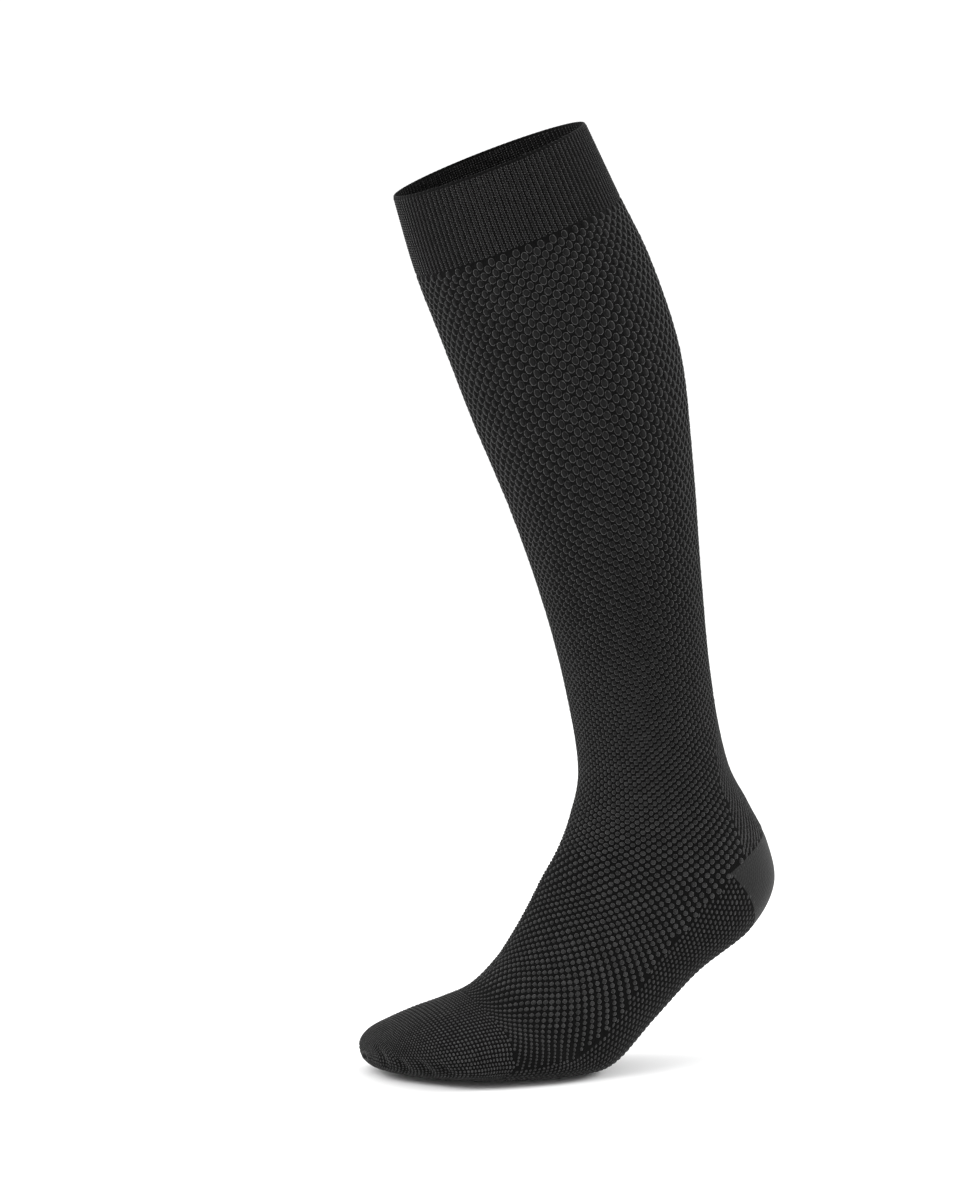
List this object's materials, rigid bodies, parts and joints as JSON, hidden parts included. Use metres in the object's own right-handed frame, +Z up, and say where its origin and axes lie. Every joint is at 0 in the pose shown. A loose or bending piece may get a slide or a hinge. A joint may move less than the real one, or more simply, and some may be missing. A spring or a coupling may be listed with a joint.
{
  "type": "compression stocking",
  "caption": "Knee-high compression stocking for a left foot, filled out as worn with the heel raised: ribbed cuff, cell-knit leg, plain heel pouch, fine sole and closed toe.",
  "frame": {"origin": "centre of the opening at the top edge of the cuff, where the wearer's leg holds it up", "axes": "+Z up along the height, -Y toward the toes, +X toward the outer side of the left foot"},
  "size_m": [0.1088, 0.2067, 0.4648],
  "materials": {
    "cuff_knit": "matte elastic rib knit, near-black charcoal",
    "cell_knit": "matte knit of small raised cells, near-black charcoal",
    "heel_knit": "smooth fine jersey, dark grey",
    "sole_knit": "fine dotted knit, charcoal",
    "toe_knit": "fine dotted knit, charcoal"
  },
  "bodies": {
    "root": {"cuff_band": "cuff_knit", "leg_tube": "cell_knit", "instep_panel": "cell_knit", "heel_pouch": "heel_knit", "sole_panel": "sole_knit", "toe_cap": "toe_knit"}
  },
  "joints": []
}
